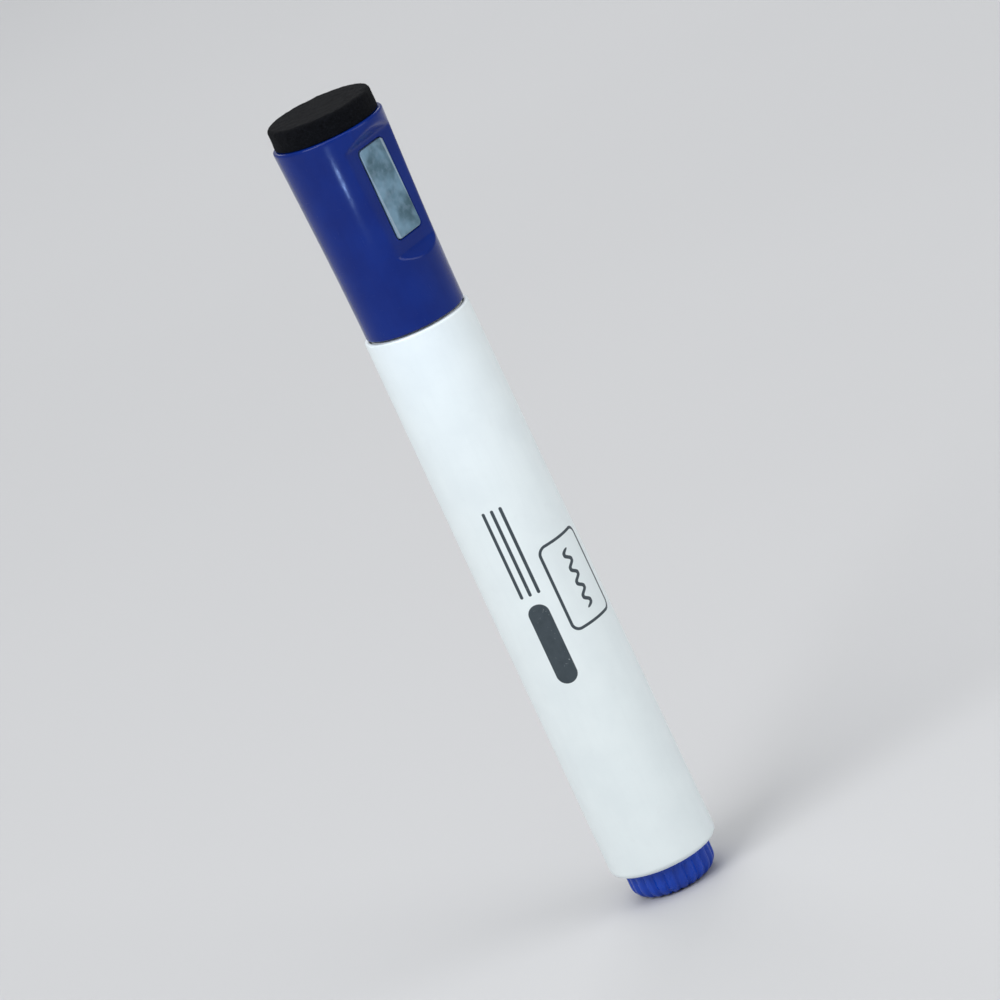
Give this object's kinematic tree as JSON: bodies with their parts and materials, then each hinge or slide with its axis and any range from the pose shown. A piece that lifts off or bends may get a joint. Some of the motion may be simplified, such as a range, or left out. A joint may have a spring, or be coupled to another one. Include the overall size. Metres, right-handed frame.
{
  "type": "whiteboard marker",
  "caption": "Bullet-nib whiteboard marker with a pull-off cap that carries a flat magnet and a felt eraser, and a ribbed tail plug.",
  "frame": {"origin": "centre of the tail plug's flat end, which is the middle of the bounding box's bottom", "axes": "+Z along the marker from the tail to the cap, -Y out of the cap's magnet"},
  "size_m": [0.0182, 0.0182, 0.137],
  "materials": {
    "barrel": "satin moulded white",
    "tail_plug": "satin moulded blue",
    "nose_section": "satin moulded white",
    "nib": "compressed fibre soaked with blue ink",
    "ink_reservoir": "drawn fibre soaked with blue ink",
    "reservoir_film": "thin clear film",
    "cap_shell": "polished moulded dark blue",
    "cap_seal": "soft natural polyethylene",
    "magnet": "dull nickel plating, mottled",
    "eraser_holder": "moulded dark blue",
    "eraser_adhesive": "double-sided foam tape",
    "eraser_felt": "dense black felt"
  },
  "bodies": {
    "barrel_body": {"barrel": "barrel", "nose_section": "nose_section", "nib": "nib", "ink_reservoir": "ink_reservoir", "reservoir_film": "reservoir_film"},
    "cap_body": {"cap_shell": "cap_shell", "cap_seal": "cap_seal", "magnet": "magnet", "eraser_holder": "eraser_holder", "eraser_adhesive": "eraser_adhesive", "eraser_felt": "eraser_felt"},
    "tail_plug_body": {"tail_plug": "tail_plug"}
  },
  "joints": [
    {"name": "cap_pull", "type": "slide", "parent": "barrel_body", "child": "cap_body", "axis": [0, 0, 1], "range_m": [0, 0.04]},
    {"name": "tail_plug_pull", "type": "slide", "parent": "barrel_body", "child": "tail_plug_body", "axis": [0, 0, -1], "range_m": [0, 0.012]}
  ]
}
